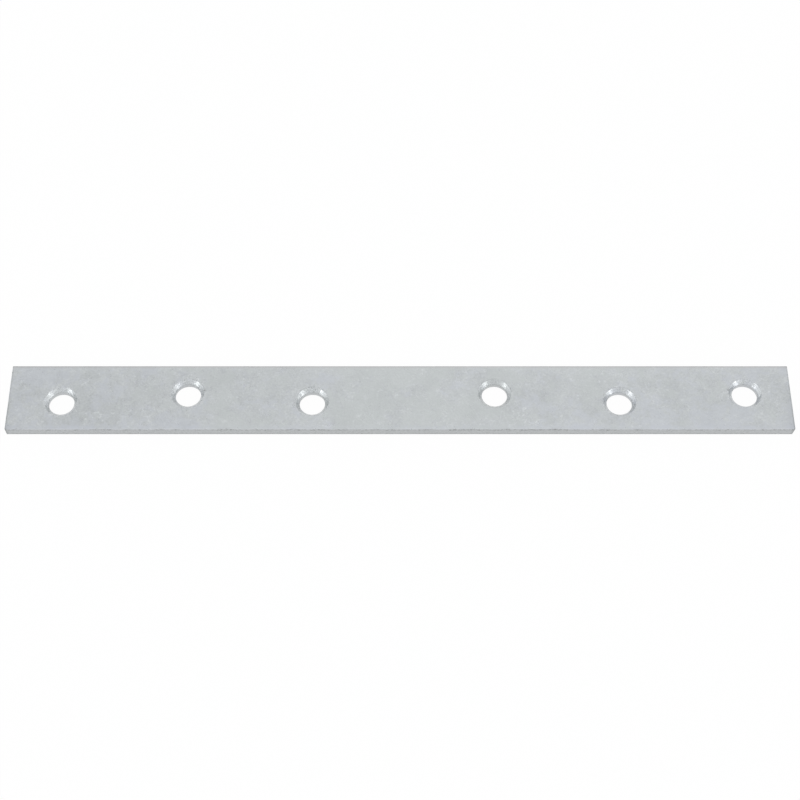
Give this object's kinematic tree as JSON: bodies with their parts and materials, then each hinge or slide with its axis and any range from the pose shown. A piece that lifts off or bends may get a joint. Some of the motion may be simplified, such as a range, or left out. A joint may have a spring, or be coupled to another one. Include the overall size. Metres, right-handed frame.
{
  "type": "mending plate",
  "caption": "Flat galvanised steel bar with countersunk screw holes in shallow staggered rows, for screwing across a butt joint.",
  "frame": {"origin": "centre of the underside", "axes": "+X along the bar, +Y across it towards the back long edge, +Z out of the countersunk face"},
  "size_m": [0.2032, 0.019, 0.0027],
  "materials": {
    "galvanised_steel": "matt pale blue-grey zinc coat, lightly mottled"
  },
  "bodies": {
    "root": {"plate": "galvanised_steel"}
  },
  "joints": []
}
